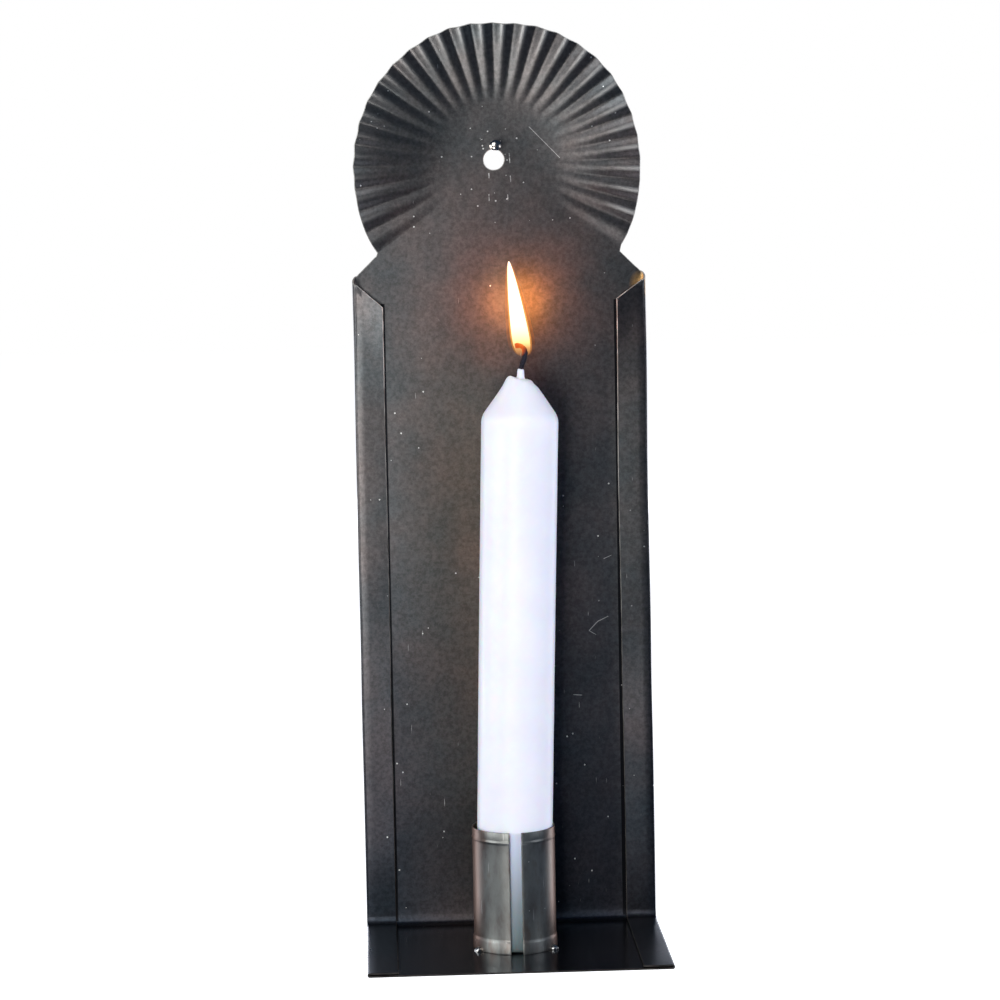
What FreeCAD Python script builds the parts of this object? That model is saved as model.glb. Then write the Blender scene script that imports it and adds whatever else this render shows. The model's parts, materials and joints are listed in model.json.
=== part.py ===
import FreeCAD, Part
import math
import os
import Sketcher

# Tin wall candle sconce. The origin is the centre of the hanging hole on the back face of the sheet,
# +Z is up, +X is to the viewer's right and the front faces -Y.

DIMENSIONS = [
    # alias, value, meaning (mm and degrees)
    ("sheet_gauge", 0.5, "thickness of the back, head and shelf sheet"),
    ("plate_width", 86.4, "width over the folded side edges"),
    ("centre_offset", 0.85, "centreline of the sheet to the right of the hanging hole"),
    ("hole_radius", 3.0, "hanging hole"),
    ("shelf_drop", 227.8, "hanging hole down to the top of the shelf"),
    ("shelf_depth", 60.9, "back face to the front edge of the shelf"),
    ("bend_radius", 0.8, "radius of the innermost layer where the shelf is bent"),
    ("neck_width", 71.6, "width at the neck"),
    ("neck_drop", 27.5, "hanging hole down to the neck"),
    ("shoulder_drop", 34.6, "hanging hole down to the outer corner of the shoulder"),
    ("hem_width", 8.85, "width of the folded edge"),
    ("hem_gap", 1.2, "air left inside the folded edge"),
    ("head_radius", 42.2, "rim of the round head"),
    ("head_drop", 1.7, "hanging hole down to the centre of the head"),
    ("crimp_inner", 20.5, "radius where the crimps run out"),
    ("crimp_count", 28, "ridges round the head"),
    ("crimp_pitch", 8.87, "angle from ridge to ridge"),
    ("crimp_turn", -0.85, "middle of the crimped arc, clockwise from straight up"),
    ("crimp_rise", 1.5, "ridge above valley at the rim"),
    ("dish_rise", 1.6, "valleys at the rim in front of the flat centre"),
    ("dish_fade", 3, "crimps over which the dish runs out beside the neck"),
    ("candle_diameter", 21.9, "diameter of the candle"),
    ("candle_length", 165.0, "foot to the flat of the tip"),
    ("tip_radius", 3.4, "flat of the candle's tip"),
    ("cone_angle", 36.0, "side of the cone from the candle's axis"),
    ("cone_shoulder", 9.0, "rounding between the cone and the side"),
    ("stub_radius", 1.15, "wax left on the wick above the tip"),
    ("stub_rise", 3.4, "height of that wax"),
    ("candle_play", 0.65, "radial room for the candle in the socket"),
    ("lean_gap", 0.17, "room left where the leaning candle comes closest to the socket"),
    ("foot_gap", 0.05, "room under the lowest point of the candle's foot"),
    ("socket_gauge", 0.4, "thickness of the socket's strip"),
    ("socket_rise", 35.6, "shelf to the socket's rim"),
    ("socket_front", 29.4, "back face to the socket's axis"),
    ("slot_width", 3.4, "open slot down the front of the socket"),
    ("bead_rise", 0.3, "bead out of the socket's wall"),
    ("bead_half", 0.6, "half the height of the bead"),
    ("bead_drop", 3.0, "rim down to the middle of the bead"),
    ("foot_band", 3.4, "height of the socket's flared foot"),
    ("foot_flare", 0.3, "foot band out of the wall"),
    ("foot_slope", 0.5, "height of the step from the foot band to the wall"),
    ("tack_radius", 1.3, "solder bead"),
    ("tack_angle", 60.0, "solder bead from the front of the socket, either way"),
    ("tack_sink", 0.2, "centre of the solder bead above the shelf"),
    ("wick_radius", 0.75, "cotton wick"),
    ("wick_turn", 30.0, "lean of the charred wick"),
    ("wick_turn_radius", 4.0, "first bend of the charred wick"),
    ("wick_run", 1.5, "straight between the bends"),
    ("wick_curl", 110.0, "turn of the wick's curled end"),
    ("wick_curl_radius", 2.2, "bend of the curled end"),
    ("wick_end", 1.6, "straight end of the wick"),
]

doc = FreeCAD.newDocument("tin_candle_sconce")
dims = doc.addObject("Spreadsheet::Sheet", "dims")
for row, (alias, number, meaning) in enumerate(DIMENSIONS, start=1):
    dims.set(f"A{row}", alias)
    dims.set(f"B{row}", str(number))
    dims.set(f"C{row}", meaning)
    dims.setAlias(f"B{row}", alias)
doc.recompute()


# Derived sizes, as expressions of the sheet.
HALF_WIDTH = "(dims.plate_width / 2)"
HEM_STACK = "(2 * dims.sheet_gauge + dims.hem_gap)"
FOLD_X = f"({HALF_WIDTH} - {HEM_STACK} / 2)"
HEM_EDGE_X = f"({HALF_WIDTH} - dims.hem_width)"
SLOPE = f"((dims.shoulder_drop - dims.neck_drop) / ({HALF_WIDTH} - dims.neck_width / 2))"
FOLD_DROP = f"(dims.neck_drop + ({FOLD_X} - dims.neck_width / 2) * {SLOPE})"
BEND = f"(dims.bend_radius + {HEM_STACK})"
UNDERSIDE = f"(dims.shelf_drop + dims.sheet_gauge)"
CRIMP_HALF_ARC = "(dims.crimp_count * dims.crimp_pitch / 2)"
CANDLE_RADIUS = "(dims.candle_diameter / 2)"
SOCKET_BORE = f"({CANDLE_RADIUS} + dims.candle_play)"
SOCKET_OUTER = f"({SOCKET_BORE} + dims.socket_gauge)"
FOOT_OUTER = f"({SOCKET_OUTER} + dims.foot_flare)"
LEAN_SHIFT = "(dims.candle_play - dims.lean_gap)"
LEAN = f"atan(2 * {LEAN_SHIFT} / dims.socket_rise)"
FOOT_RAISE = f"(dims.foot_gap + {CANDLE_RADIUS} * sin({LEAN}))"


def value(expression):
    """The number that an expression of the sheet stands for."""
    result = dims.evalExpression(str(expression))
    return float(getattr(result, "Value", result))


def origin_plane(body, role):
    """The body's own origin plane with this role."""
    return next(item for item in body.Origin.OriginFeatures if item.Role == role)


def new_sketch(body, name, role, offset="0"):
    """An empty sketch on one of the body's origin planes, offset along the plane's normal."""
    sketch = body.newObject("Sketcher::SketchObject", name)
    sketch.AttachmentSupport = [(origin_plane(body, role), "")]
    sketch.MapMode = "FlatFace"
    sketch.setExpression("AttachmentOffset.Base.z", offset)
    return sketch


def hold(sketch, kind, geometry, end, expression):
    """Binds one coordinate of a sketch point, DistanceX or DistanceY, to an expression."""
    number = sketch.addConstraint(Sketcher.Constraint(kind, -1, 1, geometry, end, value(expression)))
    sketch.setExpression(f"Constraints[{number}]", expression)


def vector(point):
    """The sketch point of a pair of expressions."""
    return FreeCAD.Vector(value(point[0]), value(point[1]), 0)


def draw(sketch, start, steps, closed=True):
    """Draws a chain of lines and arcs through points that are pairs of expressions.

    A step is (point,) for a line or (point, centre, turn) for an arc, where turn is "left" or
    "right" along the chain. Each point is bound to its expressions."""
    here = start
    ends = []
    for point, *bend in steps:
        first, last = vector(here), vector(point)
        if not bend:
            number = sketch.addGeometry(Part.LineSegment(first, last))
            tail, nose = 1, 2
        else:
            centre, turn = vector(bend[0]), bend[1]
            tail, nose = (1, 2) if turn == "left" else (2, 1)
            arms = (first - centre, last - centre) if turn == "left" else (last - centre, first - centre)
            begin, finish = (math.atan2(arm.y, arm.x) for arm in arms)
            if finish < begin:
                finish += 2 * math.pi
            circle = Part.Circle(centre, FreeCAD.Vector(0, 0, 1), arms[0].Length)
            number = sketch.addGeometry(Part.ArcOfCircle(circle, begin, finish))
            upright = abs((last - first).y) >= abs((last - first).x)
            kind, which = ("DistanceX", 0) if upright else ("DistanceY", 1)
            hold(sketch, kind, number, 3, bend[0][which])
        hold(sketch, "DistanceX", number, tail, here[0])
        hold(sketch, "DistanceY", number, tail, here[1])
        if ends:
            sketch.addConstraint(Sketcher.Constraint("Coincident", *ends[-1][1], number, tail))
        ends.append(((number, tail), (number, nose)))
        here = point
    if closed:
        sketch.addConstraint(Sketcher.Constraint("Coincident", *ends[-1][1], *ends[0][0]))
    else:
        hold(sketch, "DistanceX", *ends[-1][1], here[0])
        hold(sketch, "DistanceY", *ends[-1][1], here[1])


def lines(points):
    """Steps of straight lines through the points after the first, and back to it."""
    return [(point,) for point in points[1:] + points[:1]]


def ring(sketch, centre, radius):
    """A circle bound to expressions."""
    circle = Part.Circle(vector(centre), FreeCAD.Vector(0, 0, 1), value(radius))
    number = sketch.addGeometry(circle)
    hold(sketch, "DistanceX", number, 3, centre[0])
    hold(sketch, "DistanceY", number, 3, centre[1])
    size = sketch.addConstraint(Sketcher.Constraint("Radius", number, value(radius)))
    sketch.setExpression(f"Constraints[{size}]", radius)


def pad(body, name, sketch, length):
    """A pad along the sketch's normal."""
    feature = body.newObject("PartDesign::Pad", name)
    feature.Profile = sketch
    feature.setExpression("Length", length)
    doc.recompute()
    return feature


def pocket(body, name, sketch, length, forward=False):
    """A pocket against the sketch's normal, or along it; it must take some metal away."""
    before = body.Shape.Volume
    feature = body.newObject("PartDesign::Pocket", name)
    feature.Profile = sketch
    feature.setExpression("Length", length)
    feature.Reversed = forward
    doc.recompute()
    if not body.Shape.Volume < before - 1e-6:
        raise RuntimeError(f"{name} cuts nothing")
    return feature


def pipe(body, name, section, path):
    """A sweep of a section sketch along a path sketch."""
    feature = body.newObject("PartDesign::AdditivePipe", name)
    feature.Profile = section
    feature.Spine = path
    feature.Transition = "Transformed"
    doc.recompute()
    return feature


def revolve(body, name, sketch):
    """A full turn of a sketch on the XZ plane about the body's upright axis."""
    feature = body.newObject("PartDesign::Revolution", name)
    feature.Profile = sketch
    feature.ReferenceAxis = (sketch, ["V_Axis"])
    feature.Angle = 360
    doc.recompute()
    return feature


# sheet_body: one sheet. The hemmed back and shelf are one section swept round the bend; the neck,
# shoulders and flat of the head are pads; the crimped ring is folded facets.

def hemmed_section(sketch):
    """The sheet from hem to hem, looking down: flat back, open folds, free edges in front."""
    layer = f"-{HEM_STACK} + dims.sheet_gauge"
    fold = f"-{HEM_STACK} / 2"
    draw(sketch, (f"-{FOLD_X}", "0"), [
        ((FOLD_X, "0"),),
        ((FOLD_X, f"-{HEM_STACK}"), (FOLD_X, fold), "right"),
        ((HEM_EDGE_X, f"-{HEM_STACK}"),),
        ((HEM_EDGE_X, layer),),
        ((FOLD_X, layer),),
        ((FOLD_X, "-dims.sheet_gauge"), (FOLD_X, fold), "left"),
        ((f"-{FOLD_X}", "-dims.sheet_gauge"),),
        ((f"-{FOLD_X}", layer), (f"-{FOLD_X}", fold), "left"),
        ((f"-{HEM_EDGE_X}", layer),),
        ((f"-{HEM_EDGE_X}", f"-{HEM_STACK}"),),
        ((f"-{FOLD_X}", f"-{HEM_STACK}"),),
        ((f"-{FOLD_X}", "0"), (f"-{FOLD_X}", fold), "right"),
    ])


plate = doc.addObject("PartDesign::Body", "plate")
plate.setExpression("Placement.Base.x", "dims.centre_offset")

section = new_sketch(plate, "hemmed_section", "XY_Plane", f"-{FOLD_DROP}")
hemmed_section(section)

route = new_sketch(plate, "bend_route", "YZ_Plane")
draw(route, ("0", f"-{FOLD_DROP}"), [
    (("0", f"{BEND} - {UNDERSIDE}"),),
    ((f"-{BEND}", f"-{UNDERSIDE}"), (f"-{BEND}", f"{BEND} - {UNDERSIDE}"), "right"),
    (("-dims.shelf_depth", f"-{UNDERSIDE}"),),
], closed=False)
pipe(plate, "back_and_shelf", section, route)

# The sloping shoulder goes on round the fold, so its line is cut through the outside of the fold and
# then, mirrored, through the folded layer in front.
BEYOND = "2"
shoulder_cut = new_sketch(plate, "shoulder_cut", "XZ_Plane", "-1")
for side in ("", "-"):
    draw(shoulder_cut, (f"{side}{FOLD_X}", f"-{FOLD_DROP}"), lines([
        (f"{side}{FOLD_X}", f"-{FOLD_DROP}"),
        (f"{side}({FOLD_X} + {BEYOND})", f"-{FOLD_DROP}"),
        (f"{side}({FOLD_X} + {BEYOND})", f"-{FOLD_DROP} - {BEYOND} * {SLOPE}"),
    ]))
pocket(plate, "shoulder_trim", shoulder_cut, f"{HEM_STACK} + 2", forward=True)

hem_cut = new_sketch(plate, "hem_cut", "XZ_Plane", "dims.sheet_gauge")
for side in ("", "-"):
    inner = f"({HEM_EDGE_X} - {BEYOND})"
    draw(hem_cut, (f"{side}({HALF_WIDTH} + {BEYOND})", f"{BEYOND} - {FOLD_DROP}"), lines([
        (f"{side}({HALF_WIDTH} + {BEYOND})", f"{BEYOND} - {FOLD_DROP}"),
        (f"{side}({HALF_WIDTH} + {BEYOND})", f"{BEYOND} * {SLOPE} - dims.shoulder_drop"),
        (f"{side}{inner}", f"-dims.shoulder_drop - ({HALF_WIDTH} - {inner}) * {SLOPE}"),
        (f"{side}{inner}", f"{BEYOND} - {FOLD_DROP}"),
    ]))
pocket(plate, "hem_trim", hem_cut, f"{HEM_STACK}", forward=True)

CRIMP_START = f"(dims.crimp_turn - {CRIMP_HALF_ARC})"
CRIMP_STOP = f"(dims.crimp_turn + {CRIMP_HALF_ARC})"


def head_point(radius, angle):
    """A point of the head at an angle clockwise from straight up, seen from the front."""
    return (f"{radius} * sin({angle})", f"{radius} * cos({angle}) - dims.head_drop")


neck = new_sketch(plate, "neck_outline", "XZ_Plane")
neck_points = [
    ("0", "-dims.head_drop"),
    head_point("dims.head_radius", CRIMP_STOP),
    ("dims.neck_width / 2", "-dims.neck_drop"),
    (FOLD_X, f"-{FOLD_DROP}"),
    (f"-{FOLD_X}", f"-{FOLD_DROP}"),
    ("-dims.neck_width / 2", "-dims.neck_drop"),
    head_point("dims.head_radius", CRIMP_START),
]
draw(neck, neck_points[0], lines(neck_points))
pad(plate, "neck", neck, "dims.sheet_gauge")

# The flat of the head reaches a little into the ring's flat inner band, so that they are one metal.
BAND = "1"
flat = new_sketch(plate, "head_flat", "XZ_Plane")
ring(flat, ("0", "-dims.head_drop"), f"dims.crimp_inner - {BAND} / 2")
pad(plate, "head", flat, "dims.sheet_gauge")

hole = new_sketch(plate, "hanging_hole", "XZ_Plane", "-1")
ring(hole, ("-dims.centre_offset", "0"), "dims.hole_radius")
pocket(plate, "hole", hole, "dims.sheet_gauge + 2", forward=True)


def crimped_ring():
    """The crimped ring: facets that run from the flat centre out to a rim of ridges and valleys.

    The rim also stands forward as a shallow dish, which runs out towards the neck."""
    half_pitch = value("dims.crimp_pitch") / 2
    count = 2 * int(value("dims.crimp_count"))
    start = value(CRIMP_START)
    fade = 2 * value("dims.dish_fade")
    gauge = value("dims.sheet_gauge")
    inner = value("dims.crimp_inner")
    radii = (inner - value(BAND), inner, value("dims.head_radius"))

    def rise(step):
        near = min(step, count - step, fade) / fade
        dish = value("dims.dish_rise") * near * near * (3 - 2 * near)
        return dish + (value("dims.crimp_rise") if step % 2 else 0)

    def corner(ring_number, step, layer):
        angle = math.radians(start + step * half_pitch)
        radius = radii[ring_number]
        depth = -layer * gauge - (rise(step) if ring_number == 2 else 0)
        return FreeCAD.Vector(radius * math.sin(angle), depth,
                              radius * math.cos(angle) - value("dims.head_drop"))

    def facet(*corners):
        return Part.Face(Part.makePolygon([*corners, corners[0]]))

    faces = []
    for step in range(count):
        for layer in (0, 1):
            band = [corner(0, step, layer), corner(1, step, layer),
                    corner(1, step + 1, layer), corner(0, step + 1, layer)]
            valley, ridge = (step, step + 1) if step % 2 == 0 else (step + 1, step)
            foot, crest = corner(1, valley, layer), corner(1, ridge, layer)
            low, high = corner(2, valley, layer), corner(2, ridge, layer)
            faces += [facet(*band), facet(foot, low, high), facet(foot, high, crest)]
        for ring_number in (0, 2):
            faces.append(facet(corner(ring_number, step, 0), corner(ring_number, step + 1, 0),
                               corner(ring_number, step + 1, 1), corner(ring_number, step, 1)))
    for step in (0, count):
        for ring_number in (0, 1):
            faces.append(facet(corner(ring_number, step, 0), corner(ring_number + 1, step, 0),
                               corner(ring_number + 1, step, 1), corner(ring_number, step, 1)))
    shell = Part.makeShell(faces)
    shell.sewShape()
    solid = Part.makeSolid(Part.Shell(shell.Faces))
    if solid.Volume < 0:
        solid.reverse()
    return solid


crimps = doc.addObject("Part::Feature", "crimps")
crimps.Shape = crimped_ring()
crimps.setExpression("Placement.Base.x", "dims.centre_offset")

sheet_body = doc.addObject("Part::MultiFuse", "sheet_body")
sheet_body.Shapes = [plate, crimps]
sheet_body.Refine = True


# candle_socket: a strip rolled into a tube, with a bead under its rim, a flared foot and an open slot.

socket = doc.addObject("PartDesign::Body", "candle_socket")
socket.setExpression("Placement.Base.x", "dims.centre_offset")
socket.setExpression("Placement.Base.y", "-dims.socket_front")
socket.setExpression("Placement.Base.z", "-dims.shelf_drop")

BEAD = "(dims.socket_rise - dims.bead_drop)"
wall_steps = [
    # how far out of the plain wall, and how high
    ("dims.foot_flare", "0"),
    ("dims.foot_flare", "dims.foot_band"),
    ("0", "(dims.foot_band + dims.foot_slope)"),
    ("0", f"({BEAD} - dims.bead_half)"),
    ("dims.bead_rise", BEAD),
    ("0", f"({BEAD} + dims.bead_half)"),
    ("0", "dims.socket_rise"),
]
wall = new_sketch(socket, "wall", "XZ_Plane")
wall_points = [(f"{SOCKET_OUTER} + {out}", up) for out, up in wall_steps]
wall_points += [(f"{SOCKET_BORE} + {out}", up) for out, up in reversed(wall_steps)]
draw(wall, wall_points[0], lines(wall_points))
revolve(socket, "tube", wall)

slot = new_sketch(socket, "slot_outline", "XZ_Plane")
slot_points = [
    ("-dims.slot_width / 2", "-1"),
    ("dims.slot_width / 2", "-1"),
    ("dims.slot_width / 2", "dims.socket_rise + 1"),
    ("-dims.slot_width / 2", "dims.socket_rise + 1"),
]
draw(slot, slot_points[0], lines(slot_points))
pocket(socket, "slot", slot, f"{FOOT_OUTER} + 1", forward=True)


# solder_tack_left and solder_tack_right: beads in the corner between the socket's foot and the shelf.

def solder_tack(label, side):
    """A bead of solder, rounded outside and moulded to the foot and to the shelf."""
    bead = doc.addObject("Part::Sphere", f"{label}_bead")
    bead.setExpression("Radius", "dims.tack_radius")
    bead.setExpression("Placement.Base.x",
                       f"dims.centre_offset {side} {FOOT_OUTER} * sin(dims.tack_angle)")
    bead.setExpression("Placement.Base.y", f"-dims.socket_front - {FOOT_OUTER} * cos(dims.tack_angle)")
    bead.setExpression("Placement.Base.z", "dims.tack_sink - dims.shelf_drop")
    foot = doc.addObject("Part::Cylinder", f"{label}_foot")
    foot.setExpression("Radius", FOOT_OUTER)
    foot.setExpression("Height", "4 * dims.tack_radius")
    foot.setExpression("Placement.Base.x", "dims.centre_offset")
    foot.setExpression("Placement.Base.y", "-dims.socket_front")
    foot.setExpression("Placement.Base.z", "-dims.shelf_drop - 2 * dims.tack_radius")
    beside = doc.addObject("Part::Cut", f"{label}_beside")
    beside.Base = bead
    beside.Tool = foot
    shelf = doc.addObject("Part::Box", f"{label}_shelf")
    shelf.setExpression("Length", "dims.plate_width")
    shelf.setExpression("Width", "dims.shelf_depth")
    shelf.setExpression("Height", "2 * dims.tack_radius")
    shelf.setExpression("Placement.Base.x", "dims.centre_offset - dims.plate_width / 2")
    shelf.setExpression("Placement.Base.y", "-dims.shelf_depth")
    shelf.setExpression("Placement.Base.z", "-dims.shelf_drop - 2 * dims.tack_radius")
    tack = doc.addObject("Part::Cut", label)
    tack.Base = beside
    tack.Tool = shelf
    return tack


tack_left = solder_tack("solder_tack_left", "-")
tack_right = solder_tack("solder_tack_right", "+")


# candle and wick: both in the leaning frame of the candle, foot at the origin and the tip above it.

def lean(body):
    """Stands a body in the socket, leaning to the right until it almost touches the wall."""
    body.setExpression("Placement.Base.x", f"dims.centre_offset - {LEAN_SHIFT}")
    body.setExpression("Placement.Base.y", "-dims.socket_front")
    body.setExpression("Placement.Base.z", f"{FOOT_RAISE} - dims.shelf_drop")
    body.Placement.Rotation = FreeCAD.Rotation(FreeCAD.Vector(0, 1, 0), 1)
    body.setExpression("Placement.Rotation.Angle", LEAN)


candle = doc.addObject("PartDesign::Body", "candle")
lean(candle)

CONE_FOOT_RADIUS = f"({CANDLE_RADIUS} - dims.cone_shoulder * (1 - cos(dims.cone_angle)))"
CONE_RISE = f"(({CONE_FOOT_RADIUS} - dims.tip_radius) / tan(dims.cone_angle))"
CONE_FOOT = f"(dims.candle_length - {CONE_RISE})"
SHOULDER_FOOT = f"({CONE_FOOT} - dims.cone_shoulder * sin(dims.cone_angle))"
STUB_TOP = "(dims.candle_length + dims.stub_rise)"
wax = new_sketch(candle, "wax_outline", "XZ_Plane")
draw(wax, ("dims.wick_radius", "0"), [
    ((CANDLE_RADIUS, "0"),),
    ((CANDLE_RADIUS, SHOULDER_FOOT),),
    ((CONE_FOOT_RADIUS, CONE_FOOT), (f"{CANDLE_RADIUS} - dims.cone_shoulder", SHOULDER_FOOT), "left"),
    (("dims.tip_radius", "dims.candle_length"),),
    (("dims.stub_radius", "dims.candle_length"),),
    (("dims.stub_radius", STUB_TOP),),
    (("dims.wick_radius", STUB_TOP),),
    (("dims.wick_radius", "0"),),
])
revolve(candle, "wax", wax)

wick = doc.addObject("PartDesign::Body", "wick")
lean(wick)
cotton = new_sketch(wick, "cotton_section", "XY_Plane")
ring(cotton, ("0", "0"), "dims.wick_radius")

# The burnt end leans over to the right, runs straight, then curls back to the left.
CURL_END = "(dims.wick_curl - dims.wick_turn)"
LEANT_X = "(dims.wick_turn_radius * (1 - cos(dims.wick_turn)))"
LEANT_Z = f"({STUB_TOP} + dims.wick_turn_radius * sin(dims.wick_turn))"
CURL_X = f"({LEANT_X} + dims.wick_run * sin(dims.wick_turn))"
CURL_Z = f"({LEANT_Z} + dims.wick_run * cos(dims.wick_turn))"
CENTRE_X = f"({CURL_X} - dims.wick_curl_radius * cos(dims.wick_turn))"
CENTRE_Z = f"({CURL_Z} + dims.wick_curl_radius * sin(dims.wick_turn))"
CURLED_X = f"({CENTRE_X} + dims.wick_curl_radius * cos({CURL_END}))"
CURLED_Z = f"({CENTRE_Z} + dims.wick_curl_radius * sin({CURL_END}))"
course = new_sketch(wick, "wick_course", "XZ_Plane")
draw(course, ("0", "0"), [
    (("0", STUB_TOP),),
    ((LEANT_X, LEANT_Z), ("dims.wick_turn_radius", STUB_TOP), "right"),
    ((CURL_X, CURL_Z),),
    ((CURLED_X, CURLED_Z), (CENTRE_X, CENTRE_Z), "left"),
    ((f"{CURLED_X} - dims.wick_end * sin({CURL_END})", f"{CURLED_Z} + dims.wick_end * cos({CURL_END})"),),
], closed=False)
pipe(wick, "cotton", cotton, course)

doc.recompute()

NODES = [sheet_body, socket, tack_left, tack_right, candle, wick]
for item in doc.Objects:
    if "Invalid" in item.State or "Error" in item.State:
        raise RuntimeError(f"{item.Label} failed: {item.State}")
for node in NODES:
    if node.Shape.isNull() or not node.Shape.isValid():
        raise RuntimeError(f"{node.Label} has no valid shape")
    if len(node.Shape.Solids) != 1:
        raise RuntimeError(f"{node.Label} is {len(node.Shape.Solids)} solids, not one")

os.makedirs("parts", exist_ok=True)
for node in NODES:
    node.Shape.exportStep(f"parts/{node.Label}.step")
    print(f"{node.Label}: {node.Shape.Volume:.0f} mm3")
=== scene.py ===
import json
import math

import bpy
from mathutils import Matrix, Vector, noise


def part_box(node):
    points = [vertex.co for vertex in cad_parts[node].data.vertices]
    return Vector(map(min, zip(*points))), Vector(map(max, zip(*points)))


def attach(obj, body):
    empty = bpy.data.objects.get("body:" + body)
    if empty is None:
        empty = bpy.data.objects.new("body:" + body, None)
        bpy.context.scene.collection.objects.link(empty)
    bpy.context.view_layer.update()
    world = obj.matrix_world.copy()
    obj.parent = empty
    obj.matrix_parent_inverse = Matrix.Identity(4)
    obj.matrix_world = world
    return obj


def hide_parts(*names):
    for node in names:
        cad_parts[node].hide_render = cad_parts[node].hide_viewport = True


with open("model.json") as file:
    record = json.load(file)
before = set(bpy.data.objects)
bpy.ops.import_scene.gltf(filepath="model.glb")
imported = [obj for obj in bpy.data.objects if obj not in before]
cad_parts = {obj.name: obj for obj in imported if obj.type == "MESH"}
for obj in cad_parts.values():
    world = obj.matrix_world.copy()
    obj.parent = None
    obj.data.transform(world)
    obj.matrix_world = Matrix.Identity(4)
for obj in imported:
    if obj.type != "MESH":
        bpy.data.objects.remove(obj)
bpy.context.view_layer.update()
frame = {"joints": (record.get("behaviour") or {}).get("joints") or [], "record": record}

# Tin wall candle sconce with a burning candle. Sizes are in metres, in the part's own frame: the
# centre of the hanging hole is the origin, the front faces -Y and the shelf is at the foot.

MM = 0.001
bpy.ops.object.select_all(action="DESELECT")

sheet_low, sheet_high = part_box("sheet_body")
socket_low, socket_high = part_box("candle_socket")
candle_low, candle_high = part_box("candle")
hole = next(mount for mount in frame["record"]["mounts"] if mount["name"] == "hanging_hole")

CENTRE_X = (sheet_low.x + sheet_high.x) / 2
HALF_WIDTH = (sheet_high.x - sheet_low.x) / 2
UNDERSIDE = sheet_low.z
SHELF_FRONT = sheet_low.y
HOLE_RADIUS = hole["dims"]["r_mm"] * MM
GAUGE = 0.5 * MM
SHELF_TOP = UNDERSIDE + GAUGE
HEAD_RADIUS = 42.2 * MM
HEAD_CENTRE = Vector((CENTRE_X, 0, sheet_high.z - HEAD_RADIUS))
NECK_HALF = 35.8 * MM          # half the plate's width at the neck, under the head
NECK_Z = -27.5 * MM
SHOULDER_Z = -34.6 * MM        # where the sloping shoulders meet the plate's sides
HEM_WIDTH = 8.85 * MM
FOLD_OPEN = 1.4 * MM           # radius of the edge folds at the shoulders, where they have sprung
FOLD_RADIUS = 0.95 * MM        # down the back
FOLD_FLAT = 0.66 * MM          # along the shelf, where they are hammered down
BACK_HALF = HALF_WIDTH - FOLD_OPEN
BACK_TOP = NECK_Z + (SHOULDER_Z - NECK_Z) * (BACK_HALF - NECK_HALF) / (HALF_WIDTH - NECK_HALF)
BEND_RADIUS = 3.5 * MM
CRIMPS = 28
CRIMP_PITCH = math.radians(8.87)
CRIMP_TURN = math.radians(-0.85)       # how far the whole fan of crimps is turned
CRIMP_INNER = 18.0 * MM        # where the crimps begin, from the head's centre
CRIMP_RISE = 0.85 * MM
DISH_RISE = 2.0 * MM           # how far the rim stands forward of the plate
SHEET_BEVEL, STRIP_BEVEL = 0.20 * MM, 0.08 * MM


def linear(code):
    """The linear colour of an sRGB hex value, with alpha 1."""
    parts = [int(code[i:i + 2], 16) / 255 for i in (1, 3, 5)]
    return [p / 12.92 if p <= 0.04045 else ((p + 0.055) / 1.055) ** 2.4 for p in parts] + [1]


def smooth(t):
    """Eases from 0 to 1 as t goes from 0 to 1, and stays there beyond."""
    t = min(max(t, 0), 1)
    return t * t * (3 - 2 * t)


def mix(a, b, t):
    """From a to b as t goes from 0 to 1."""
    return a + (b - a) * t


# ---------------------------------------------------------------- materials

def node(tree, kind, settings=None, links=None):
    """Adds a node. settings are its properties and input values; links are inputs fed by sockets."""
    made = tree.nodes.new(kind)
    for key, value in (settings or {}).items():
        if isinstance(key, int) or key in made.inputs:
            made.inputs[key].default_value = value
        else:
            setattr(made, key, value)
    for key, source in (links or {}).items():
        tree.links.new(source, made.inputs[key])
    return made


def feed(tree, entry, source):
    """Links a socket to an input, or sets the input to a number or an sRGB hex colour."""
    if isinstance(source, bpy.types.NodeSocket):
        tree.links.new(source, entry)
    else:
        entry.default_value = linear(source) if isinstance(source, str) else source


def maths(tree, operation, *terms):
    """The result of a maths node; each term is a number or a socket."""
    made = node(tree, "ShaderNodeMath", {"operation": operation})
    for place, term in enumerate(terms):
        feed(tree, made.inputs[place], term)
    return made.outputs[0]


def product(tree, first, *others):
    """All the terms multiplied together."""
    for other in others:
        first = maths(tree, "MULTIPLY", first, other)
    return first


def remap(tree, value, low, high, to_low=0.0, to_high=1.0):
    """Takes low to high over to to_low to to_high, and holds the value at both ends."""
    return node(tree, "ShaderNodeMapRange",
                {"From Min": low, "From Max": high, "To Min": to_low, "To Max": to_high},
                {"Value": value}).outputs[0]


def layered(tree, under, over, share=1.0, kind="MIX"):
    """Lays the colour over on the colour under, as strongly as share says."""
    made = node(tree, "ShaderNodeMix", {"data_type": "RGBA", "blend_type": kind})
    for place, term in ((0, share), (6, under), (7, over)):
        feed(tree, made.inputs[place], term)
    return made.outputs[2]


def axes(tree, vector):
    """The x, y and z of a vector."""
    return list(node(tree, "ShaderNodeSeparateXYZ", links={0: vector}).outputs)


def distance(tree, at, point):
    """How far a place on the surface is from a point."""
    return node(tree, "ShaderNodeVectorMath", {"operation": "DISTANCE", 1: point},
                {0: at}).outputs["Value"]


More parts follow.
